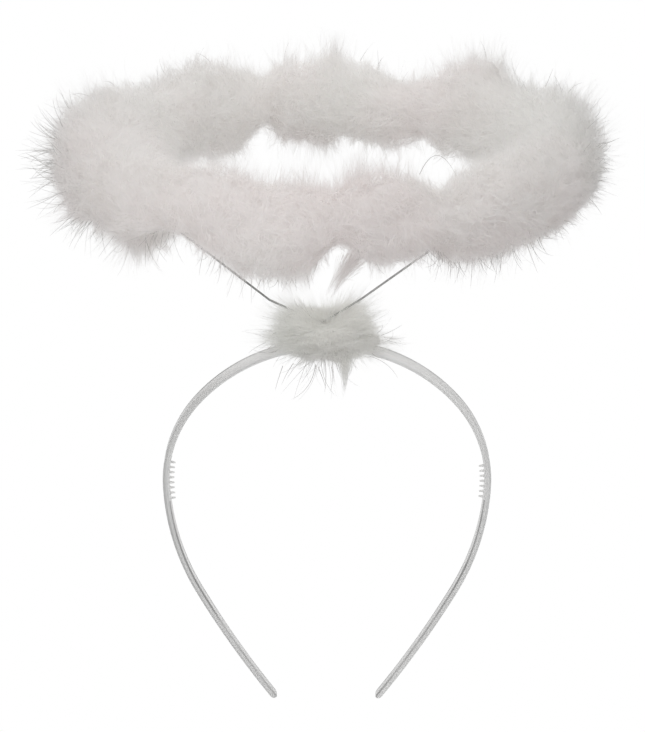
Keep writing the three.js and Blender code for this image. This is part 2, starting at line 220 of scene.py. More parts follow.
# Painted shade: a grey copy of the white plastic, laid in thin strips along the hair hoop's corners where
# its outline shows dark
paintedShadePlastic = hardMaterial("plastic_painted_shade", {
    "dark": (0.40, 0.40, 0.397),
    "light": (0.70, 0.70, 0.695),
    "patches": 45,
    "roughness": 0.3,
    "metal": 0,
})
dullSteel = hardMaterial("steel_wire", {
    "dark": (0.30, 0.30, 0.295),
    "light": (0.42, 0.42, 0.41),
    "patches": 160,
    "roughness": 0.38,
    "metal": 0.85,
})

# The wires keep their CAD shape and get a steel finish
for nodeName in ("halo_hoop", "stem_wires"):
    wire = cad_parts[nodeName].data
    wire.materials.clear()
    wire.materials.append(dullSteel)
print("materials ready")


# Hair hoop: the CAD's arcs, drawn finely so that the plastic shines smoothly

hairHoop = {
    "arcs": [(0.521, 49), (0.397, 43.3), (0.79, 26.5), (3.15, 7.95)],  # radius in widths, sweep in degrees
    "width": 127.4,
    "depth": (8, 5.5),  # front to back, crown and tips
    "thickness": (2.7, 2.4),
    "tipRounding": 2.4,
    "tipStations": 12,  # sections where a tip rounds off
    "tipAngles": (4, 86),  # of the first and the last of them, in degrees
    "stations": 420,
    "edgeNose": 1.3,  # how far in from the front and back edges the rounding starts
    "noseAngles": (-90, -76, -62, -48, -34, -22, -13, -4, 8, 20, 34, 48, 62, 76, 90),
    "grooveAngle": -13,  # of the parting line along the front and back edges, towards the inner face
    "grooveDepth": 0.2,
    "innerShadeLine": 0.7,  # width of the painted-shade line along the inner face's back edge, below the combs
    "outerShadeLine": 1.3,  # width of the painted-shade line along the outer face's back edge, above the combs
    "innerShadeCorner": (-76, -34),  # the front edge's inner corner in painted shade, in its angles, below the combs
    "outerShadeCorner": 69,  # the right side's outer corner in painted shade from this angle on, below the combs
    "backShadeCorner": 48,  # the corner along the back edge in painted shade
    "shadeBelowCombs": 7,  # how far past a comb's middle the corners take painted shade
    "toothPitch": 2.2,
    "toothLength": 1.9,
    "toothRooting": 0.5,
    "toothWidth": (1.3, 0.7),
    "toothSides": 14,
    "toothEnd": (0.4, 0.8, 1.2, 1.5),  # where the rounded end has its sections, in radians
    "teeth": {-1: 8, 1: 7},  # on the left and on the right
}


def layArcs(scale):
    # one side's arcs end to end: where each starts, its radius, x, z and heading, and the whole length
    laid, x, z, heading, along = [], 0, 0, 0, 0
    for radius, sweep in hairHoop["arcs"]:
        r = radius * scale
        laid.append((along, r, x, z, heading))
        turned = heading + math.radians(sweep)
        x += r * (math.sin(turned) - math.sin(heading))
        z -= r * (math.cos(heading) - math.cos(turned))
        along += r * math.radians(sweep)
        heading = turned
    return laid, along


def widest(laid):
    # how far out the hoop is where it runs straight down, and where along it that is
    along, r, x, z, heading = [arc for arc in laid if arc[4] < math.pi / 2][-1]
    return x + r * (1 - math.sin(heading)), along + r * (math.pi / 2 - heading)


unitLaid, unitLength = layArcs(1)
unitX, unitAlong = widest(unitLaid)
thickHere = np.interp(unitAlong / unitLength, (0, 1), hairHoop["thickness"])
arcsLaid, sideLength = layArcs((hairHoop["width"] - thickHere) / 2 / unitX)
combPlace = widest(arcsLaid)[1]


def hoopSpot(along, out, back):
    # along the hoop from the crown, out from its middle line, and to the back
    far = abs(along)
    start, r, x0, z0, heading0 = [arc for arc in arcsLaid if arc[0] <= far][-1]
    heading = heading0 + (far - start) / r
    x = x0 + r * (math.sin(heading) - math.sin(heading0))
    z = z0 - r * (math.cos(heading0) - math.cos(heading))
    side = -1 if along < 0 else 1
    return (side * (x + out * math.sin(heading)), back,
            hairHoop["thickness"][0] / 2 + z + out * math.cos(heading))


def hoopStations():
    # places along the hoop from tip to tip, each with the share of its full size that the section has
    rounding = hairHoop["tipRounding"]
    straight = sideLength - rounding
    endAngles = np.radians(np.linspace(*hairHoop["tipAngles"], hairHoop["tipStations"]))
    rightEnd = [(straight + rounding * math.sin(angle), math.cos(angle)) for angle in endAngles]
    leftEnd = [(-along, size) for along, size in reversed(rightEnd)]
    middle = [(along, 1) for along in np.linspace(-straight, straight, hairHoop["stations"])]
    return leftEnd + middle + rightEnd


def hoopSection(along, size):
    # the front edge from the inner face out, the outer face, the back edge back in, and the inner face
    share = abs(along) / sideLength
    halfOut = np.interp(share, (0, 1), hairHoop["thickness"]) / 2 * size
    halfBack = np.interp(share, (0, 1), hairHoop["depth"]) / 2 * size
    nose = min(hairHoop["edgeNose"] * size, halfBack)
    edge = []
    for angle in hairHoop["noseAngles"]:
        sunk = hairHoop["grooveDepth"] * size if angle == hairHoop["grooveAngle"] else 0
        turn = math.radians(angle)
        edge.append((halfOut * math.sin(turn), halfBack - nose * (1 - math.cos(turn)) - sunk))
    flat = halfBack - nose
    section = [(out, -back) for out, back in edge]
    section.append((halfOut, flat - min(hairHoop["outerShadeLine"] * size, flat)))
    section += [(out, back) for out, back in reversed(edge)]
    section.append((-halfOut, flat - min(hairHoop["innerShadeLine"] * size, flat)))
    return [hoopSpot(along, out, back) for out, back in section]


def paintedShadeStrips(along):
    # which faces of a section's strip take the grey plastic of painted shade, in the order of its points:
    # thin dark lines along the hoop's corners and edges, and along the right side's outer corner below the
    # combs
    angles = hairHoop["noseAngles"]
    middles = np.array([(a + b) / 2 for a, b in zip(angles, angles[1:])])
    below = abs(along) > combPlace + hairHoop["shadeBelowCombs"]
    low, high = hairHoop["innerShadeCorner"]
    front = below & (middles > low) & (middles < high)
    if along > 0:
        front |= below & (middles > hairHoop["outerShadeCorner"])
    back = (middles > hairHoop["backShadeCorner"]) | (below & (middles < -hairHoop["backShadeCorner"]))
    return [*front, False, abs(along) < combPlace, *back[::-1], below, False]


def hairHoopMesh():
    stations = hoopStations()
    sections = [hoopSection(along, size) for along, size in stations]
    columns = len(sections[0])
    points = [point for section in sections for point in section]
    triangles = gridTriangles(len(stations), columns, False, True)
    caps = []
    for row in (0, len(stations) - 1):
        points.append(np.mean(sections[row], axis=0))
        hub = len(points) - 1
        for c in range(columns):
            a, b = row * columns + c, row * columns + (c + 1) % columns
            caps.append((hub, b, a) if row else (hub, a, b))
    strips = np.ravel([paintedShadeStrips(along) for along, _ in stations[1:]])
    paintedShadeFaces = np.concatenate([strips, strips, np.zeros(len(caps), bool)])
    return *facingOut(np.array(points), np.concatenate([triangles, np.array(caps)])), paintedShadeFaces


def toothMesh(along):
    share = abs(along) / sideLength
    inner = -np.interp(share, (0, 1), hairHoop["thickness"]) / 2
    root = np.array(hoopSpot(along, inner + hairHoop["toothRooting"], 0))
    tip = np.array(hoopSpot(along, inner - hairHoop["toothLength"], 0))
    length = np.linalg.norm(tip - root)
    inward = (tip - root) / length
    sideways = np.array((0, 1, 0))
    up = np.cross(inward, sideways)
    rootHalf, tipHalf = (width / 2 for width in hairHoop["toothWidth"])
    profile = [(0, rootHalf), (length - tipHalf, tipHalf)]
    profile += [(length - tipHalf * (1 - math.sin(a)), tipHalf * math.cos(a)) for a in hairHoop["toothEnd"]]
    sides = hairHoop["toothSides"]
    points = []
    for forward, half in profile:
        for a in np.linspace(0, fullTurn, sides, endpoint=False):
            points.append(root + inward * forward + (sideways * math.cos(a) + up * math.sin(a)) * half)
    return facingOut(np.array(points), gridTriangles(len(profile), sides, False, True))


teeth = [toothMesh(side * (combPlace + hairHoop["toothPitch"] * (i - (count - 1) / 2)))
         for side, count in hairHoop["teeth"].items() for i in range(count)]
hoopPoints, hoopFaces, paintedShadeFaces = hairHoopMesh()
hoop = meshPiece("hair_hoop", *joined([(hoopPoints, hoopFaces), *teeth]), whitePlastic, "white_plastic",
                 "headband")
# the second slot holds the grey plastic of painted shade for the hoop's dark corner strips
hoop.data.materials.append(paintedShadePlastic)
paintedShadeSlots = np.zeros(len(hoop.data.polygons), np.int32)
paintedShadeSlots[:len(paintedShadeFaces)] = paintedShadeFaces
hoop.data.polygons.foreach_set("material_index", paintedShadeSlots)


# Down grows out of a form: a ring about the wire hoop, or a ball about the crown for the tuft. A spot on
# it is two angles, u round the form and v round its section, and a share of the way out to the surface.

ring = {
    "node": "halo_boa",
    "radius": 84.6,
    "height": 72.3,
    "sectionTurn": fullTurn,  # how far v goes
    "cells": (360, 60),  # of the table of reaches, by u and v
    "smoothing": (2.5, 2.5),  # in cells
}
tuft = {
    "node": "tuft",
    "middle": (-1, 0, 5.4),
    "sectionTurn": math.pi,
    "cells": (72, 36),
    "smoothing": (3, 2),
}
lockPoints = {
    "outreach": 1.04,  # how far a corner of the CAD stands out against its neighbours to be a lock's point
    "share": (0.8, 1.5),  # of the smoothed reach
    "level": 1.115,  # the points of the locks against the mean of points and hollows
}
lookFrom = 60  # how far out the CAD's surface is looked up from
endMargin = 0.05  # radians that down in named places keeps from the tuft's ends


def ringFrame(u, v):
    outward = np.stack([np.cos(u), np.sin(u), np.zeros_like(u)], -1)
    upward = np.array((0, 0, 1.0))
    away = outward * np.cos(v)[..., None] + upward * np.sin(v)[..., None]
    onward = np.stack([-np.sin(u), np.cos(u), np.zeros_like(u)], -1)
    around = -outward * np.sin(v)[..., None] + upward * np.cos(v)[..., None]
    middle = outward * ring["radius"] + upward * ring["height"]
    return middle, away, onward, around


def tuftFrame(u, v):
    # v from the right end to the left one, u round the hair hoop
    outward = np.stack([np.zeros_like(u), np.cos(u), np.sin(u)], -1)
    along = np.array((1.0, 0, 0))
    away = outward * np.sin(v)[..., None] + along * np.cos(v)[..., None]
    onward = np.stack([np.zeros_like(u), -np.sin(u), np.cos(u)], -1)
    around = outward * np.cos(v)[..., None] - along * np.sin(v)[..., None]
    return np.broadcast_to(np.array(tuft["middle"]), away.shape), away, onward, around


ring["frame"], tuft["frame"] = ringFrame, tuftFrame


def anglesOf(form, points):
    if form is ring:
        outward = np.hypot(points[:, 0], points[:, 1]) - ring["radius"]
        return np.arctan2(points[:, 1], points[:, 0]), np.arctan2(points[:, 2] - ring["height"], outward)
    apart = points - np.array(tuft["middle"])
    return np.arctan2(apart[:, 2], apart[:, 1]), np.arctan2(np.hypot(apart[:, 1], apart[:, 2]), apart[:, 0])


def angleNet(form, rows, columns):
    u = np.linspace(0, fullTurn, rows, endpoint=False)
    v = np.linspace(0, form["sectionTurn"], columns, endpoint=form is tuft)
    return np.meshgrid(u, v, indexing="ij")


def smoothed(values, closed, spread):
    # a soft average over about spread cells each way
    for axis, reach in enumerate(spread):
        total = np.zeros_like(values)
        steps = range(-math.ceil(2 * reach), math.ceil(2 * reach) + 1)
        weights = np.exp(-0.5 * (np.array(steps) / reach) ** 2)
        for step, weight in zip(steps, weights / weights.sum()):
            if axis == 0 or closed:
                moved = np.roll(values, step, axis)
            else:
                index = np.clip(np.arange(values.shape[1]) - step, 0, values.shape[1] - 1)
                moved = values[:, index]
            total += weight * moved
        values = total
    return values


def measureForm(form):
    # how far out the CAD's surface is, looked up from outside
    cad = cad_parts[form["node"]].data
    tree = BVHTree.FromPolygons([v.co for v in cad.vertices], [p.vertices for p in cad.polygons])
    rows, columns = form["cells"]
    middle, away, _, _ = form["frame"](*angleNet(form, rows, columns))
    reach = np.zeros((rows, columns))
    for i in range(rows):
        for j in range(columns):
            start = Vector((middle[i, j] + away[i, j] * lookFrom) * mm)
            hit = tree.ray_cast(start, Vector(-away[i, j]), lookFrom * mm)
            reach[i, j] = lookFrom - (hit[3] / mm if hit[0] else lookFrom)
    form["reach"] = smoothed(reach, form is ring, form["smoothing"]) * lockPoints["level"]


def lookUp(form, u, v):
    # the smoothed reach at these angles
    rows, columns = form["cells"]
    reach = form["reach"]
    row = (u / fullTurn * rows) % rows
    row0 = np.floor(row).astype(int) % rows
    row1 = (row0 + 1) % rows
    if form is ring:
        column = (v / fullTurn * columns) % columns
        column0 = np.floor(column).astype(int) % columns
        column1 = (column0 + 1) % columns
    else:
        column = np.clip(v / math.pi * (columns - 1), 0, columns - 1.001)  # short of the last column
        column0 = np.floor(column).astype(int)
        column1 = column0 + 1
    onRow = row - np.floor(row)
    onColumn = column - np.floor(column)
    low = reach[row0, column0] * (1 - onColumn) + reach[row0, column1] * onColumn
    high = reach[row1, column0] * (1 - onColumn) + reach[row1, column1] * onColumn
    return low * (1 - onRow) + high * onRow


def spot(form, u, v, share):
    middle, away, _, _ = form["frame"](u, v)
    return middle + away * (lookUp(form, u, v) * share)[..., None]


def lockTips(form):
    # the CAD surface's outstanding corners: each is the point of a lock
    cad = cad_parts[form["node"]].data
    corners = np.array([v.co for v in cad.vertices]) / mm
    places, index = np.unique(np.round(corners, 2), axis=0, return_inverse=True)
    index = index.ravel()
    u, v = anglesOf(form, places)
    far = np.linalg.norm(places - form["frame"](u, v)[0], axis=1)
    total, count = np.zeros(len(places)), np.zeros(len(places))
    for edge in cad.edges:
        a, b = index[edge.vertices[0]], index[edge.vertices[1]]
        total[a] += far[b]
        total[b] += far[a]
        count[a] += 1
        count[b] += 1
    neighbours = total / np.maximum(count, 1)
    share = far / lookUp(form, u, v)
    least, most = lockPoints["share"]
    stands = (far > lockPoints["outreach"] * neighbours) & (share > least) & (share < most)
    return places[stands], u[stands], v[stands], share[stands]


for form in (ring, tuft):
    measureForm(form)

# Where the soft down stands in or out from the CAD's surface. at and face are degrees round the form and
# round its section: the ring's run from the right by the back, and from outward by up, and the tuft's run
# round the hair hoop from the back by up, and from the right end to the left one. swell is a share of the
# reach there, and most is a length that the reach comes down to.
ringTouches = table("at spread face faceSpread swell most", [
    (230.5, 7.5, 278, 50, 0, 5.5),
    (241, 7, 285, 40, -0.26),
    (236, 5, 285, 55, 0, 8),
    (242, 4, 285, 50, 0, 11.5),
    (250, 5, 285, 40, -0.08),
    (207, 10, 290, 40, -0.2),
    (212, 5.5, 303, 35, -0.31),
    (197, 3.5, 320, 20, 0.1),
    (260, 6, 280, 45, -0.12),
    (267, 4.5, 285, 40, -0.18),
    (273, 4, 282, 65, 0, 3.5),
    (287, 8, 275, 45, -0.19),
    (293, 3.2, 288, 50, 0, 8.5),
    (325, 12, 300, 45, -0.1),
    (339, 8, 312, 40, -0.14),
    (353, 8, 340, 40, -0.05),
    (142, 6.5, 65, 40, -0.43),
    (133, 4, 62, 30, -0.08),
    (127, 6, 68, 30, -0.05),
    (114, 3, 72, 30, 0.14),
    (106.5, 3.5, 75, 35, -0.31),
    (100, 3, 72, 30, 0.07),
    (96.5, 2.5, 72, 30, -0.13),
    (92.5, 2, 72, 30, 0.06),
    (82, 3, 80, 30, 0.04),
    (70, 7, 78, 35, -0.19),
    (62.5, 2.5, 66, 30, -0.14),
    (57.5, 2.5, 66, 30, 0.14),
    (45, 7, 75, 30, 0.13),
    (34, 5, 58, 35, -0.17),
    (20, 6, 45, 35, -0.04),
    (8, 6, 25, 30, 0.04),
    (124, 6, 258, 35, 0.2),
    (240, 5, 100, 35, 0.2),
    (254, 4, 110, 30, -0.22),
    (263, 4, 110, 30, -0.14),
    (270.5, 3.5, 110, 30, -0.28),
    (111, 2.8, 253, 50, 0, 5),
    (107, 1.4, 253, 62, 0, 0.5),
    (100.5, 3, 258, 30, 0.18),
    (91, 2.5, 255, 30, 0.2),
    (85.2, 2.4, 252, 30, -0.36),
    (103.5, 2, 254, 25, 0.2),
    (72, 4.5, 255, 30, 0.15),
    (60.5, 3.8, 254, 45, 0, 7),
    (299.5, 5, 105, 45, 0, 10),
    (282, 5, 104, 30, 0.26),
    (42, 5, 240, 35, -0.14),
])
tuftTouches = table("at spread face faceSpread swell most", [
    (105, 34, 92, 34, 0, 4.6),  # the wires show in front here
    (270, 50, 95, 40, -0.12),
    (75, 30, 48, 16, 0.26),
    (95, 40, 18, 12, -0.12),
    (230, 70, 172, 22, 0.16),
    (250, 60, 8, 16, 0.26),
    (100, 30, 144, 15, 0.22),
    (262, 30, 156, 13, 0.22),
    (262, 30, 21, 12, 0.3),
])


touchMiddle = 1.6  # over 1, so that all of a touch's middle comes down to its length


def touchUp(form, touches):
    rows, columns = form["cells"]
    at = np.arange(rows)[:, None] * 360 / rows
    face = np.degrees(np.linspace(0, form["sectionTurn"], columns, endpoint=form is tuft))[None, :]
    for touch in touches:
        apart = (at - touch["at"] + 180) % 360 - 180
        turned = (face - touch["face"] + 180) % 360 - 180
        near = np.exp(-(apart / touch["spread"]) ** 2 - (turned / touch["faceSpread"]) ** 2)
        form["reach"] *= 1 + touch["swell"] * near
        if "most" in touch:
            near = np.clip(near * touchMiddle, 0, 1)
            form["reach"] -= np.maximum(form["reach"] - touch["most"], 0) * near


touchUp(ring, ringTouches)
touchUp(tuft, tuftTouches)
print("down measured")


# Barbs: flat ribbons that taper from root to tip

barbTaper = 0.75  # how much narrower a barb is just before its tip
lieWaves = [  # the way the down lies: amount, waves round the form, waves round its section, phase
    (1.9, 2, 0, 1.3),
    (1.5, 5, -2, 0.4),
    (1.1, 11, 1, 2.2),
    (0.8, -7, 3, 0),
]


def ribbons(roots, bends, tips, width, facing, steps):
    # along curves from root over bend to tip, each with its flat side to facing
    t = np.linspace(0, 1, steps + 1)
    line = (roots[:, None] * ((1 - t) ** 2)[None, :, None]
            + bends[:, None] * (2 * t * (1 - t))[None, :, None] + tips[:, None] * (t ** 2)[None, :, None])
    across = np.cross(np.gradient(line, axis=1), facing[:, None])
    across /= np.linalg.norm(across, axis=2, keepdims=True) + tiny
    half = 0.5 * width[:, None] * (1 - barbTaper * t[None, :])
    points = np.empty((len(roots), 2 * steps + 1, 3))
    points[:, 0:2 * steps:2] = (line - across * half[..., None])[:, :-1]
    points[:, 1:2 * steps:2] = (line + across * half[..., None])[:, :-1]
    points[:, -1] = line[:, -1]
    faces = []
    for i in range(steps - 1):
        faces += [(2 * i, 2 * i + 1, 2 * i + 3), (2 * i, 2 * i + 3, 2 * i + 2)]
    faces.append((2 * steps - 2, 2 * steps - 1, 2 * steps))
    offsets = (np.arange(len(roots)) * (2 * steps + 1))[:, None, None]
    return points.reshape(-1, 3), (np.array(faces)[None] + offsets).reshape(-1, 3)


def unit(vectors):
    return vectors / (np.linalg.norm(vectors, axis=-1, keepdims=True) + tiny)


def flow(u, v):
    # the angle that the down lies over at, changing gently over the form
    return sum(amount * np.sin(byU * u + byV * v + phase) for amount, byU, byV, phase in lieWaves)


def sideways(onward, around, lie):
    return onward * np.cos(lie)[:, None] + around * np.sin(lie)[:, None]


def anywhere(form, count):
    # angles all over a form
    u = seeded.uniform(0, fullTurn, count)
    if form is ring:
        return u, seeded.uniform(0, fullTurn, count)
    return u, np.arccos(seeded.uniform(-1, 1, count))


def aboutPlace(form, place, count):
    # angles scattered about a named place
    u = np.radians(seeded.normal(place["at"], place["spread"], count)) % fullTurn
    v = np.radians(seeded.normal(place["face"], place["faceSpread"], count))
    return u, v if form is ring else np.clip(v, endMargin, math.pi - endMargin)


coverShape = {
    "rise": 0.75,  # how far a tip stands above its root, in lengths of its barb
    "leastRound": 4,  # least way round the tuft and least reach to measure a lean by
    "leastReach": 5,
    "tilt": 0.35,  # of the flat sides, at random
}


def coverBarbs(form, settings):
    # down that lies over the form and hides what is under it
    n = settings["count"]
    u, v = anywhere(form, n)
    reach = lookUp(form, u, v)
    rootShare = seeded.uniform(*settings["rootShare"], n)
    length = seeded.uniform(*settings["length"], n)
    lie = flow(u, v) + seeded.normal(0, settings["untidy"], n)
    aside = length * seeded.uniform(*settings["lean"], n)
    if form is ring:
        wayRound = ring["radius"] + reach * np.cos(v)
    else:
        wayRound = np.maximum(reach * np.sin(v), coverShape["leastRound"])
    du = aside * np.cos(lie) / wayRound
    dv = aside * np.sin(lie) / np.maximum(reach * rootShare, coverShape["leastReach"])
    tipShare = np.minimum(rootShare + length * coverShape["rise"] / reach,
                          seeded.uniform(*settings["tipShare"], n))
    roots = spot(form, u, v, rootShare)
    tips = spot(form, u + du, v + dv, tipShare)
    _, away, onward, around = form["frame"](u, v)
    bulge = (settings["bulge"] * length)[:, None] * away
    curl = seeded.normal(0, settings["curl"], (n, 1)) * onward
    curl = curl + seeded.normal(0, settings["curl"], (n, 1)) * around
    bends = (roots + tips) / 2 + bulge + curl
    facing = unit(away + seeded.normal(0, coverShape["tilt"], (n, 3)))
    width = seeded.uniform(*settings["width"], n)
    return ribbons(roots, bends, tips, width, facing, settings["steps"]), u


def standingTips(form, u, v, lie, height, leans):
    # the points of small tufts, with the angles they grow at and their share of the reach
    aside = seeded.uniform(*leans, len(u))[:, None]
    middle, away, onward, around = form["frame"](u, v)
    tips = middle + away * height[:, None] + sideways(onward, around, lie) * aside
    return tips, u, v, height / lookUp(form, u, v)


smallShape = {
    "untidy": 0.8,
    "from": 0.96,  # what the tips stand from, as a share of the reach
}


def smallTips(form, settings):
    # small tufts all over the down
    n = settings["tufts"]
    u, v = anywhere(form, n)
    lie = flow(u, v) + seeded.normal(0, smallShape["untidy"], n)
    height = lookUp(form, u, v) * smallShape["from"] + seeded.uniform(*settings["stands"], n)
    return standingTips(form, u, v, lie, height, settings["leans"])


def tipsIn(form, places):
    # small tufts in named places
    found = []
    for place in places:
        n = place["count"]
        u, v = aboutPlace(form, place, n)
        lie = seeded.uniform(0, fullTurn, n)
        height = lookUp(form, u, v) + seeded.uniform(*place["stands"], n)
        found.append(standingTips(form, u, v, lie, height, place["leans"]))
    return [np.concatenate(parts) for parts in zip(*found)]


lockShape = {
    "longFrom": 1.12,  # a lock past this share of the reach gets more barbs, up to longMost past it
    "longMost": 0.5,
    "leastRound": 5,  # least way round the tuft and least reach to measure the girth by
    "leastReach": 6,
    "foot": 0.4,  # where a lock's middle line starts, as a share of the reach
    "crowding": 0.7,  # under 1, more of the barbs end near the lock's point
    "loose": (1.35, 2),  # scatter of the barbs' ends: it shrinks towards the first, times the second
    "bendAt": 0.55,
    "tilt": 0.5,
}


def lockBarbs(form, settings, locks):
    # down drawn together into pointed locks
    tips, u, v, share = locks
    extra = np.clip(share - lockShape["longFrom"], 0, lockShape["longMost"])
    each = settings["each"] + (settings["longEach"] * extra).astype(int)
    pick = np.repeat(np.arange(len(tips)), each)
    n = len(pick)
    u, v = u[pick], v[pick]
    reach = lookUp(form, u, v)
    if form is ring:
        wayRound = ring["radius"] + reach * np.cos(v)
    else:
        wayRound = np.maximum(reach * np.sin(v), lockShape["leastRound"])
    du = seeded.normal(0, settings["girth"], n) / wayRound
    dv = seeded.normal(0, settings["girth"], n) / np.maximum(reach, lockShape["leastReach"])
    rootShare = seeded.uniform(*settings["rootShare"], n)
    roots = spot(form, u + du, v + dv, rootShare)
    reached = seeded.uniform(*settings["tipShare"], n) ** lockShape["crowding"]
    away = form["frame"](u, v)[1]
    foot = spot(form, u, v, np.full(n, lockShape["foot"]))
    ends = foot + (tips[pick] - foot) * reached[:, None]
    tight, loose = lockShape["loose"]
    ends = ends + seeded.normal(0, settings["scatter"], (n, 3)) * (tight - reached)[:, None] * loose
    curl = seeded.normal(0, settings["curl"], (n, 3))
    bends = roots + (ends - roots) * lockShape["bendAt"] + curl + away * settings["bulge"]
    facing = unit(away + seeded.normal(0, lockShape["tilt"], (n, 3)))
    width = seeded.uniform(*settings["width"], n)
    print(f"{form['node']}: {len(tips)} locks, {n} barbs in them")
    return ribbons(roots, bends, ends, width, facing, settings["steps"]), u


longShape = {
    "shortest": 0.6,  # how much of the lock its shortest barbs fall short by
    "crowding": 0.6,
    "loose": (1.2, 0.5),  # as in lockShape, in girths
    "curl": 0.4,
    "facing": (0, -1.5, 0),  # most flat sides to the front
    "steps": 5,
}


def longLock(lock, width):
    # one slim lock from its root to its point, bowed aside on the way
    n = lock["count"]
    root, tip, bow = (np.array(lock[key]) for key in ("root", "tip", "bow"))
    start = root + seeded.normal(0, lock["girth"], (n, 3))
    reached = 1 - longShape["shortest"] * seeded.uniform(0, 1, n)[:, None] ** longShape["crowding"]
    middle = (root + tip) / 2 + bow
    ends = root * (1 - reached) ** 2 + 2 * middle * reached * (1 - reached) + tip * reached ** 2
    tight, loose = longShape["loose"]
    ends += seeded.normal(0, loose * lock["girth"], (n, 3)) * (tight - reached)
    bends = (start + ends) / 2 + bow / 2 + seeded.normal(0, longShape["curl"], (n, 3))
    facing = unit(seeded.normal(0, 1, (n, 3)) + longShape["facing"])
    widths = seeded.uniform(*width, n)
    growsAt = np.full(n, math.atan2(root[1], root[0]))
    return ribbons(start, bends, ends, widths, facing, longShape["steps"]), growsAt


fringeShape = {
    "from": 1.04,  # the down's rim, as a share of the reach
    "untidy": 1.1,
    "tilt": 0.7,
}


def fringeBarbs(form, settings, place=None):
    # thin ends that stand past the down, fewer and fewer the farther out
    n = settings["count"]
    u, v = aboutPlace(form, place, n) if place else anywhere(form, n)
    reach = lookUp(form, u, v)
    rootShare = seeded.uniform(*settings["rootShare"], n)
    length = seeded.uniform(*settings["length"], n)
    lie = flow(u, v) + seeded.normal(0, fringeShape["untidy"], n)
    middle, away, onward, around = form["frame"](u, v)
    roots = middle + away * (reach * rootShare)[:, None]
    past = np.minimum(seeded.exponential(settings["past"], n), settings["farthest"])
    out = reach * fringeShape["from"] + past - reach * rootShare
    aside = length * seeded.uniform(*settings["lean"], n)
    tips = roots + away * out[:, None] + sideways(onward, around, lie) * aside[:, None]
    bends = (roots + tips) / 2 + seeded.normal(0, settings["curl"], (n, 3))
    facing = unit(away + seeded.normal(0, fringeShape["tilt"], (n, 3)))
    width = seeded.uniform(*settings["width"], n)
    return ribbons(roots, bends, tips, width, facing, settings["steps"]), u


def wisps(form, down, places):
    # places where a softer fringe stands out further
    found = []
    for place in places:
        changed = {"past": place["past"], "count": place["count"], "farthest": down["wispsReach"]}
        found.append(fringeBarbs(form, {**down["fringe"], **changed}, place))
    return found


hairs = {
    "width": (0.14, 0.25),
    "rootShare": 0.99,
    "lean": (0, 0.7),
    "rise": (0.55, 0.5),  # from root to bend and from bend to tip, in lengths of the hair
    "curl": 0.6,
    "steps": 7,
    "strandSteps": 12,
    "strandTilt": 0.3,
}


def looseHairs(form, place):
    # single long barbs that stand off the down and curve over
    n = place["count"]
    u, v = aboutPlace(form, place, n)
    length = seeded.uniform(*place["length"], n)
    lie = seeded.uniform(0, fullTurn, n)
    roots = spot(form, u, v, np.full(n, hairs["rootShare"]))
    _, away, onward, around = form["frame"](u, v)
    lean = seeded.uniform(*hairs["lean"], (n, 1)) * sideways(onward, around, lie)
    toBend, toTip = hairs["rise"]
    bends = roots + unit(away + lean) * (length * toBend)[:, None]
    turned = unit(away + 2 * lean + seeded.normal(0, hairs["curl"], (n, 3)))
    tips = bends + turned * (length * toTip)[:, None]
    facing = unit(seeded.normal(0, 1, (n, 3)))
    width = seeded.uniform(*hairs["width"], n)
    return ribbons(roots, bends, tips, width, facing, hairs["steps"])


def strands(rows):
    # single hairs listed one by one: root, a point they bend over, tip
    root, over, tip = (np.array([row[i] for row in rows], float) for i in range(3))
    bends = 2 * over - (root + tip) / 2
    facing = unit(seeded.normal(0, hairs["strandTilt"], root.shape) + (0, -1, 0))
    return ribbons(root, bends, tip, np.full(len(rows), hairs["width"][1]), facing, hairs["strandSteps"])


def coreMesh(form, settings):
    # the dense middle of the down, lumpy all over so that it has no hard edge
    rows, columns = settings["cells"]
    closed = form is ring
    lumps = np.ones((rows, columns))
    for spread, amount in settings["lumps"]:
        field = smoothed(seeded.normal(0, 1, (rows, columns)), closed, spread)
        lumps += amount * field / field.std()
    if not closed:
        lumps[:, 0], lumps[:, -1] = 1, 1
    u, v = angleNet(form, rows, columns)
    points = spot(form, u.ravel(), v.ravel(), (settings["share"] * lumps).ravel())
    return facingOut(points, gridTriangles(rows, columns, True, closed))


def downAllOver(form, down):
    # lying down, the CAD's locks, small tufts everywhere and the loose fringe
    return [coverBarbs(form, down["cover"]),
            lockBarbs(form, down["locks"], lockTips(form)),
            lockBarbs(form, down["smallTufts"], smallTips(form, down["smallTufts"])),
            fringeBarbs(form, down["fringe"])]


def downPiece(name, mesh, material, form):
    return meshPiece(name, *mesh, material, "marabou_down", form["node"])


# The ring of down

ringDown = {
    "core": {"cells": (600, 72), "share": 0.73, "lumps": [((6, 4.5), 0.05), ((1.7, 1.3), 0.06)]},
    "cover": {"count": 62000, "rootShare": (0.56, 0.99), "length": (6, 13), "lean": (0.35, 0.85),
              "tipShare": (0.8, 1.14), "bulge": 0.14, "curl": 0.7, "untidy": 0.8, "width": (0.15, 0.28),
              "steps": 3},
    "locks": {"each": 26, "longEach": 200, "girth": 3.6, "rootShare": (0.6, 0.95), "tipShare": (0.55, 1.1),
              "scatter": 1.3, "curl": 0.8, "bulge": 0.6, "width": (0.1, 0.18), "steps": 3},
    "smallTufts": {"tufts": 900, "stands": (0, 7), "leans": (1, 8), "each": 16, "longEach": 0, "girth": 1.6,
                   "rootShare": (0.72, 0.95), "tipShare": (0.6, 1.1), "scatter": 0.5, "curl": 0.6,
                   "bulge": 0.3, "width": (0.09, 0.16), "steps": 4},
    "fringe": {"count": 14000, "rootShare": (0.7, 1.0), "length": (6, 12), "lean": (0.1, 0.8), "past": 2.6,
               "farthest": 11, "curl": 1.3, "width": (0.06, 0.1), "steps": 4},
    "wispsReach": 11,
}
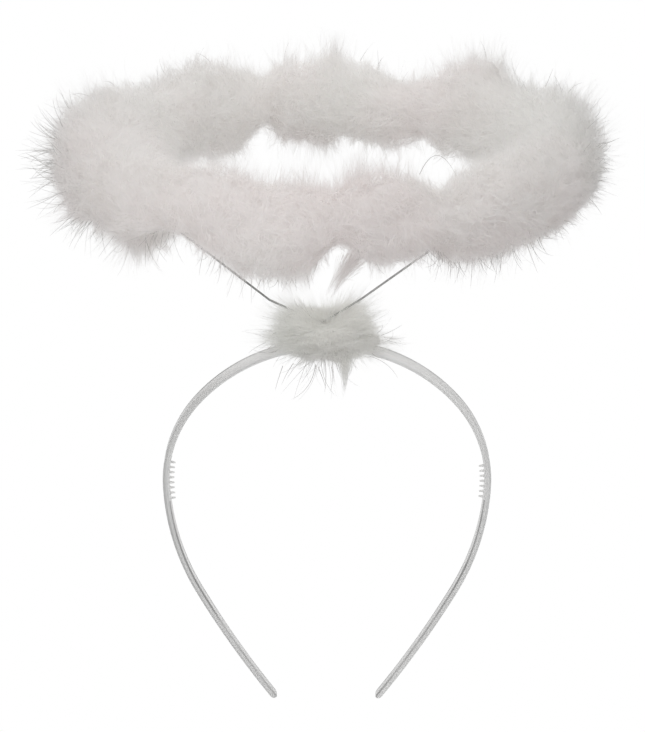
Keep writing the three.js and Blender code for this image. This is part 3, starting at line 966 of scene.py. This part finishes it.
ringWisps = table("at spread face faceSpread past count", [
    (163, 12, 45, 20, 3.4, 900),
    (14, 12, 40, 22, 3.6, 900),
    (51, 8, 72, 16, 4.2, 700),
    (88.8, 1.5, 74, 7, 9, 260),
    (197, 3, 320, 10, 5, 160),
    (221, 2.2, 297, 8, 7, 220),
    (65, 2, 72, 7, 6, 90),
    (112, 3, 72, 10, 5, 200),
    (101, 2, 72, 8, 6, 150),
    (305, 9, 285, 16, 3.0, 500),
    (213, 5, 290, 12, 4.0, 300),
    (244, 6, 112, 12, 4, 300),
    (263, 3, 108, 10, 4.5, 250),
    (117, 6, 244, 14, 4.0, 300),
    (98, 6, 252, 12, 4.0, 250),
    (274.8, 2, 108, 10, 8, 500),
    (291, 5, 108, 10, 4.5, 200),
    (91, 3, 255, 12, 4.5, 250),
])
# Small tufts where light falls between the front and the back of the ring, and round the rim
ringTufts = table("at spread face faceSpread stands leans count", [
    (262, 14, 109, 7, (2, 9), (0, 7), 46),
    (290, 9, 108, 7, (2, 7), (0, 6), 26),
    (90, 17, 251, 7, (1, 7), (0, 6), 50),
    (106, 3, 240, 30, (1, 4), (1, 5), 8),
    (240, 8, 289, 8, (0, 4), (0, 5), 16),
    (197, 3, 320, 8, (2, 8), (0, 6), 9),
    (170, 5, 24, 9, (2, 8), (0, 6), 12),
    (90, 40, 68, 8, (1, 7), (0, 7), 60),
])
thinTufts = {**ringDown["smallTufts"], "each": 20, "girth": 1.2, "curl": 0.8, "tipShare": (0.5, 1.1)}
ringLongLocks = table("root tip bow girth count", [  # places in millimetres
    ((11, -79, 62), (0, -74, 42), (-0.5, 0, 2.5), 1.9, 200),
    ((8, -80, 60), (-2, -75, 44), (0, 0, 1), 1.9, 110),
])
# Single hairs that stand off the rim, grey with painted shade
ringHairs = table("at spread face faceSpread length count", [
    (181, 8, 0, 20, (6, 14), 90),
    (165, 5, 36, 12, (6, 11), 16),
    (203, 8, 312, 14, (6, 13), 46),
    (228, 6, 293, 12, (8, 15), 24),
    (243, 6, 288, 10, (5, 11), 34),
    (262, 8, 287, 10, (3, 7), 40),
    (297, 5, 289, 10, (4, 9), 40),
    (309, 8, 292, 12, (5, 11), 50),
    (335, 10, 312, 14, (4, 8), 40),
    (1, 9, 3, 20, (3, 7), 50),
    (144, 5, 58, 9, (5, 9), 14),
    (172, 3, 20, 9, (8, 14), 12),
    (125, 12, 66, 8, (4, 9), 14),
    (78, 6, 70, 8, (6, 11), 8),
    (42, 12, 64, 9, (4, 8), 20),
    (90, 45, 0, 30, (4, 10), 110),
])
ringStrands = [  # millimetres
    ((31.5, -76, 90.3), (37.7, -77, 97.4), (44.7, -76, 88.9)),
]

# The ring's down is four pieces, a quarter each, by where its barbs grow
quarters = ("right", "back", "left", "front")


def inQuarters(sets):
    shares = [[] for _ in quarters]
    for (points, faces), u in sets:
        pointsEach = len(points) // len(u)
        pattern = faces[:len(faces) // len(u)]
        quarter = np.floor((u + math.pi / 4) / (math.pi / 2)).astype(int) % len(quarters)
        for q, share in enumerate(shares):
            mine = np.nonzero(quarter == q)[0]
            some = points.reshape(len(u), pointsEach, 3)[mine].reshape(-1, 3)
            offsets = (np.arange(len(mine)) * pointsEach)[:, None, None]
            share.append((some, (pattern[None] + offsets).reshape(-1, 3)))
    return shares


ringSets = downAllOver(ring, ringDown)
ringSets += wisps(ring, ringDown, ringWisps)
ringSets.append(lockBarbs(ring, thinTufts, tipsIn(ring, ringTufts)))
ringSets += [longLock(lock, ringDown["smallTufts"]["width"]) for lock in ringLongLocks]
for side, share in zip(quarters, inQuarters(ringSets)):
    downPiece(f"ring_down_{side}", joined(share), whiteDown, ring)
downPiece("ring_down_core", coreMesh(ring, ringDown["core"]), whiteDown, ring)
ringLoose = [looseHairs(ring, place) for place in ringHairs]
ringLoose.append(strands(ringStrands))
downPiece("ring_loose_hairs", joined(ringLoose), paintedShadeHairs, ring)
print("ring of down ready")


# The tuft at the crown

tuftDown = {
    "core": {"cells": (96, 40), "share": 0.74, "lumps": [((5, 3.6), 0.04), ((1.7, 1.3), 0.04)]},
    "cover": {"count": 9000, "rootShare": (0.55, 0.95), "length": (5, 10), "lean": (0.3, 0.8),
              "tipShare": (0.85, 1.1), "bulge": 0.14, "curl": 0.5, "untidy": 0.6, "width": (0.14, 0.24),
              "steps": 3},
    "locks": {"each": 16, "longEach": 80, "girth": 2.2, "rootShare": (0.5, 0.9), "tipShare": (0.55, 1.1),
              "scatter": 0.7, "curl": 0.5, "bulge": 0.3, "width": (0.1, 0.17), "steps": 4},
    "smallTufts": {"tufts": 110, "stands": (0, 3), "leans": (1, 4), "each": 14, "longEach": 0, "girth": 1.4,
                   "rootShare": (0.7, 0.95), "tipShare": (0.6, 1.1), "scatter": 0.4, "curl": 0.5,
                   "bulge": 0.3, "width": (0.09, 0.15), "steps": 4},
    "fringe": {"count": 2200, "rootShare": (0.7, 1.0), "length": (5, 9), "lean": (0.1, 0.6), "past": 1.6,
               "farthest": 7, "curl": 1.1, "width": (0.06, 0.1), "steps": 4},
    "wispsReach": 9,
}
tuftWisps = table("at spread face faceSpread past count", [
    (100, 22, 55, 14, 6.0, 900),
    (110, 25, 138, 14, 5.0, 700),
    (80, 18, 92, 30, 5.0, 700),
    (220, 50, 168, 12, 3.0, 300),
    (255, 40, 20, 12, 3.0, 300),
])
tuftTips = table("at spread face faceSpread stands leans count", [
    (102, 20, 62, 12, (2, 8), (0, 5), 14),
    (102, 20, 128, 12, (2, 7), (0, 5), 12),
    (268, 16, 95, 28, (1, 6), (0, 4), 16),
])
thinTips = {**tuftDown["smallTufts"], "each": 18, "girth": 1.0, "curl": 0.7, "tipShare": (0.5, 1.1)}
tuftLongLocks = table("root tip bow girth count", [  # places in millimetres
    ((6.5, -3, 0), (6, -3, -21), (0.8, 0, 0), 2.1, 190),
])
tuftHairs = table("at spread face faceSpread length count", [
    (265, 16, 105, 14, (10, 19), 18),
    (268, 25, 130, 16, (6, 13), 26),
    (268, 25, 55, 16, (5, 10), 14),
    (180, 60, 168, 10, (5, 11), 14),
    (180, 60, 12, 10, (5, 10), 14),
    (90, 30, 135, 20, (4, 8), 8),
])
tuftStrands = [  # millimetres
    ((-4, -5, -5), (-6.4, -6, -13), (-12.1, -5, -20.5)),
    ((-4.5, -5, -5), (-7.5, -6, -13.5), (-14, -5, -19.5)),
    ((-3.6, -5, -6), (-1.6, -6, -11), (-0.6, -5, -15)),
    ((1.5, -5, -6), (1.9, -6, -11.5), (0.7, -5, -17)),
    ((-17, -4, -6), (-18.6, -5, -10.5), (-20, -4, -16)),
    ((-13, -4, -5), (-15.6, -5, -9), (-17.6, -4, -14)),
    ((16, -4, -2), (22.5, -5, -5), (27, -4, -11)),
]

tuftSets = downAllOver(tuft, tuftDown)
tuftSets += wisps(tuft, tuftDown, tuftWisps)
tuftSets.append(lockBarbs(tuft, thinTips, tipsIn(tuft, tuftTips)))
tuftSets += [longLock(lock, tuftDown["smallTufts"]["width"]) for lock in tuftLongLocks]
downPiece("tuft_down", joined([barbs for barbs, _ in tuftSets]), tuftLighterDown, tuft)
downPiece("tuft_down_core", coreMesh(tuft, tuftDown["core"]), tuftLighterDown, tuft)
tuftLoose = [looseHairs(tuft, place) for place in tuftHairs]
tuftLoose.append(strands(tuftStrands))
downPiece("tuft_loose_hairs", joined(tuftLoose), paintedShadeHairs, tuft)
print("tuft ready")


# Floor, light and camera

def whiteToCamera(nodes, links, tone, white, out):
    # the camera sees plain white where the light meets the real tone
    ray = nodes.new("ShaderNodeLightPath")
    mix = nodes.new("ShaderNodeMixShader")
    links.new(ray.outputs["Is Camera Ray"], mix.inputs["Fac"])
    links.new(tone, mix.inputs[1])
    links.new(white, mix.inputs[2])
    links.new(mix.outputs["Shader"], out.inputs["Surface"])


floor = {
    "size": 12,
    "height": -0.2,
    "tones": ((0.86, 0.86, 0.86), (0.94, 0.94, 0.94)),
    "grain": 40,
}
bpy.ops.mesh.primitive_plane_add(size=floor["size"], location=(0, 0, floor["height"]))
paper = bpy.context.object
paper.name = "paper_floor"
paperFinish, nodes, links = newMaterial("pale_paper")
grain = nodes.new("ShaderNodeTexNoise")
grain.inputs["Scale"].default_value = floor["grain"]
tone = toneRamp(nodes, (0, 1), floor["tones"])
sheet = nodes.new("ShaderNodeBsdfDiffuse")
links.new(grain.outputs["Fac"], tone.inputs["Fac"])
links.new(tone.outputs["Color"], sheet.inputs["Color"])
whiteToCamera(nodes, links, sheet.outputs["BSDF"], nodes.new("ShaderNodeEmission").outputs["Emission"],
              nodes.new("ShaderNodeOutputMaterial"))
paper.data.materials.append(paperFinish)

studio = {
    "strength": 1.025,
    "heights": (0.4, 0.9),  # of the two tones, from straight down at 0 to straight up at 1
    "tones": ((0.61, 0.61, 0.61), (0.85, 0.85, 0.85)),
}
world = bpy.data.worlds.new("studio")
world.use_nodes = True
bpy.context.scene.world = world
nodes, links = world.node_tree.nodes, world.node_tree.links
direction = nodes.new("ShaderNodeTexCoord")
height = nodes.new("ShaderNodeSeparateXYZ")
rise = nodes.new("ShaderNodeMapRange")
rise.inputs["From Min"].default_value = -1
fade = toneRamp(nodes, studio["heights"], studio["tones"])
sky = nodes["Background"]
sky.inputs["Strength"].default_value = studio["strength"]
seenSky = nodes.new("ShaderNodeBackground")
seenSky.inputs["Color"].default_value = (1, 1, 1, 1)
links.new(direction.outputs["Generated"], height.inputs["Vector"])
links.new(height.outputs["Z"], rise.inputs["Value"])
links.new(rise.outputs["Result"], fade.inputs["Fac"])
links.new(fade.outputs["Color"], sky.inputs["Color"])
whiteToCamera(nodes, links, sky.outputs["Background"], seenSky.outputs["Background"], nodes["World Output"])

# A large soft light above, and two weak ones low in front that lift the inner sides of the hair hoop
lights = {
    "top_light": {"place": (-0.3, -0.5, 1.4), "aim": (0, 0, 0), "size": 1.0, "power": 4},
    "low_light": {"place": (-0.3, -0.75, -0.18), "aim": (-0.03, 0, -0.03), "size": 0.3, "power": 0.4},
    "low_light_right": {"place": (0.3, -0.75, -0.18), "aim": (-0.03, 0, -0.03), "size": 0.3, "power": 0.5},
}
for name, settings in lights.items():
    light = bpy.data.lights.new(name, "AREA")
    light.shape = "DISK"
    light.size = settings["size"]
    light.energy = settings["power"]
    lamp = bpy.data.objects.new(name, light)
    lamp.location = settings["place"]
    towards = Vector(settings["aim"]) - Vector(settings["place"])
    lamp.rotation_euler = towards.to_track_quat("-Z", "Y").to_euler()
    bpy.context.scene.collection.objects.link(lamp)

# Dark cards out of the camera's sight: one on each side of the hair hoop, so that its sides stand out
# grey, more so on the left, and three round the ring
felt = hardMaterial("black_felt", {
    "dark": (0.02, 0.02, 0.02),
    "light": (0.04, 0.04, 0.04),
    "patches": 40,
    "roughness": 0.9,
    "metal": 0,
})
cards = {
    "left_card": {"place": (-0.15, -0.09, -0.1), "size": (0.17, 0.26), "turned": 30},
    "right_card": {"place": (0.15, -0.09, -0.12), "size": (0.15, 0.13), "turned": -30},
    "ring_card_left": {"place": (-0.2, 0, 0.09), "size": (0.1, 0.2), "turned": 0},
    "ring_card_right": {"place": (0.19, 0, 0.09), "size": (0.14, 0.24), "turned": 0},
    "ring_card_front": {"place": (0.09, -0.2, 0.06), "size": (0.1, 0.11), "turned": -72},
}
for name, settings in cards.items():
    bpy.ops.mesh.primitive_plane_add(size=1, location=settings["place"])
    card = bpy.context.object
    card.name = name
    card.scale = (*settings["size"], 1)
    card.rotation_euler = (0, math.pi / 2, math.radians(settings["turned"]))
    card.visible_camera = False
    card.data.materials.append(felt)

photoCamera = {
    "place": (-0.00195, -1.036, 0.3622),
    "aim": (-0.0019, 0, -0.007467),
    "lean": 0.2,  # degrees about the line of sight
    "sensor": 36,
    "focalPixels": 2871.9,
    "pictureWidth": 645,
    "bounces": 16,
    "diffuseBounces": 10,  # light passes from barb to barb
}
camera = bpy.data.cameras.new("camera")
camera.sensor_fit = "HORIZONTAL"
camera.sensor_width = photoCamera["sensor"]
camera.lens = photoCamera["focalPixels"] * photoCamera["sensor"] / photoCamera["pictureWidth"]
eye = bpy.data.objects.new("camera", camera)
eye.location = photoCamera["place"]
facingAim = (Vector(photoCamera["aim"]) - eye.location).to_track_quat("-Z", "Y")
eye.rotation_euler = (facingAim @ Quaternion((0, 0, 1), math.radians(photoCamera["lean"]))).to_euler()
bpy.context.scene.collection.objects.link(eye)
bpy.context.scene.camera = eye
bpy.context.scene.view_settings.view_transform = "Standard"
bpy.context.scene.cycles.max_bounces = photoCamera["bounces"]
bpy.context.scene.cycles.diffuse_bounces = photoCamera["diffuseBounces"]
print("studio ready")
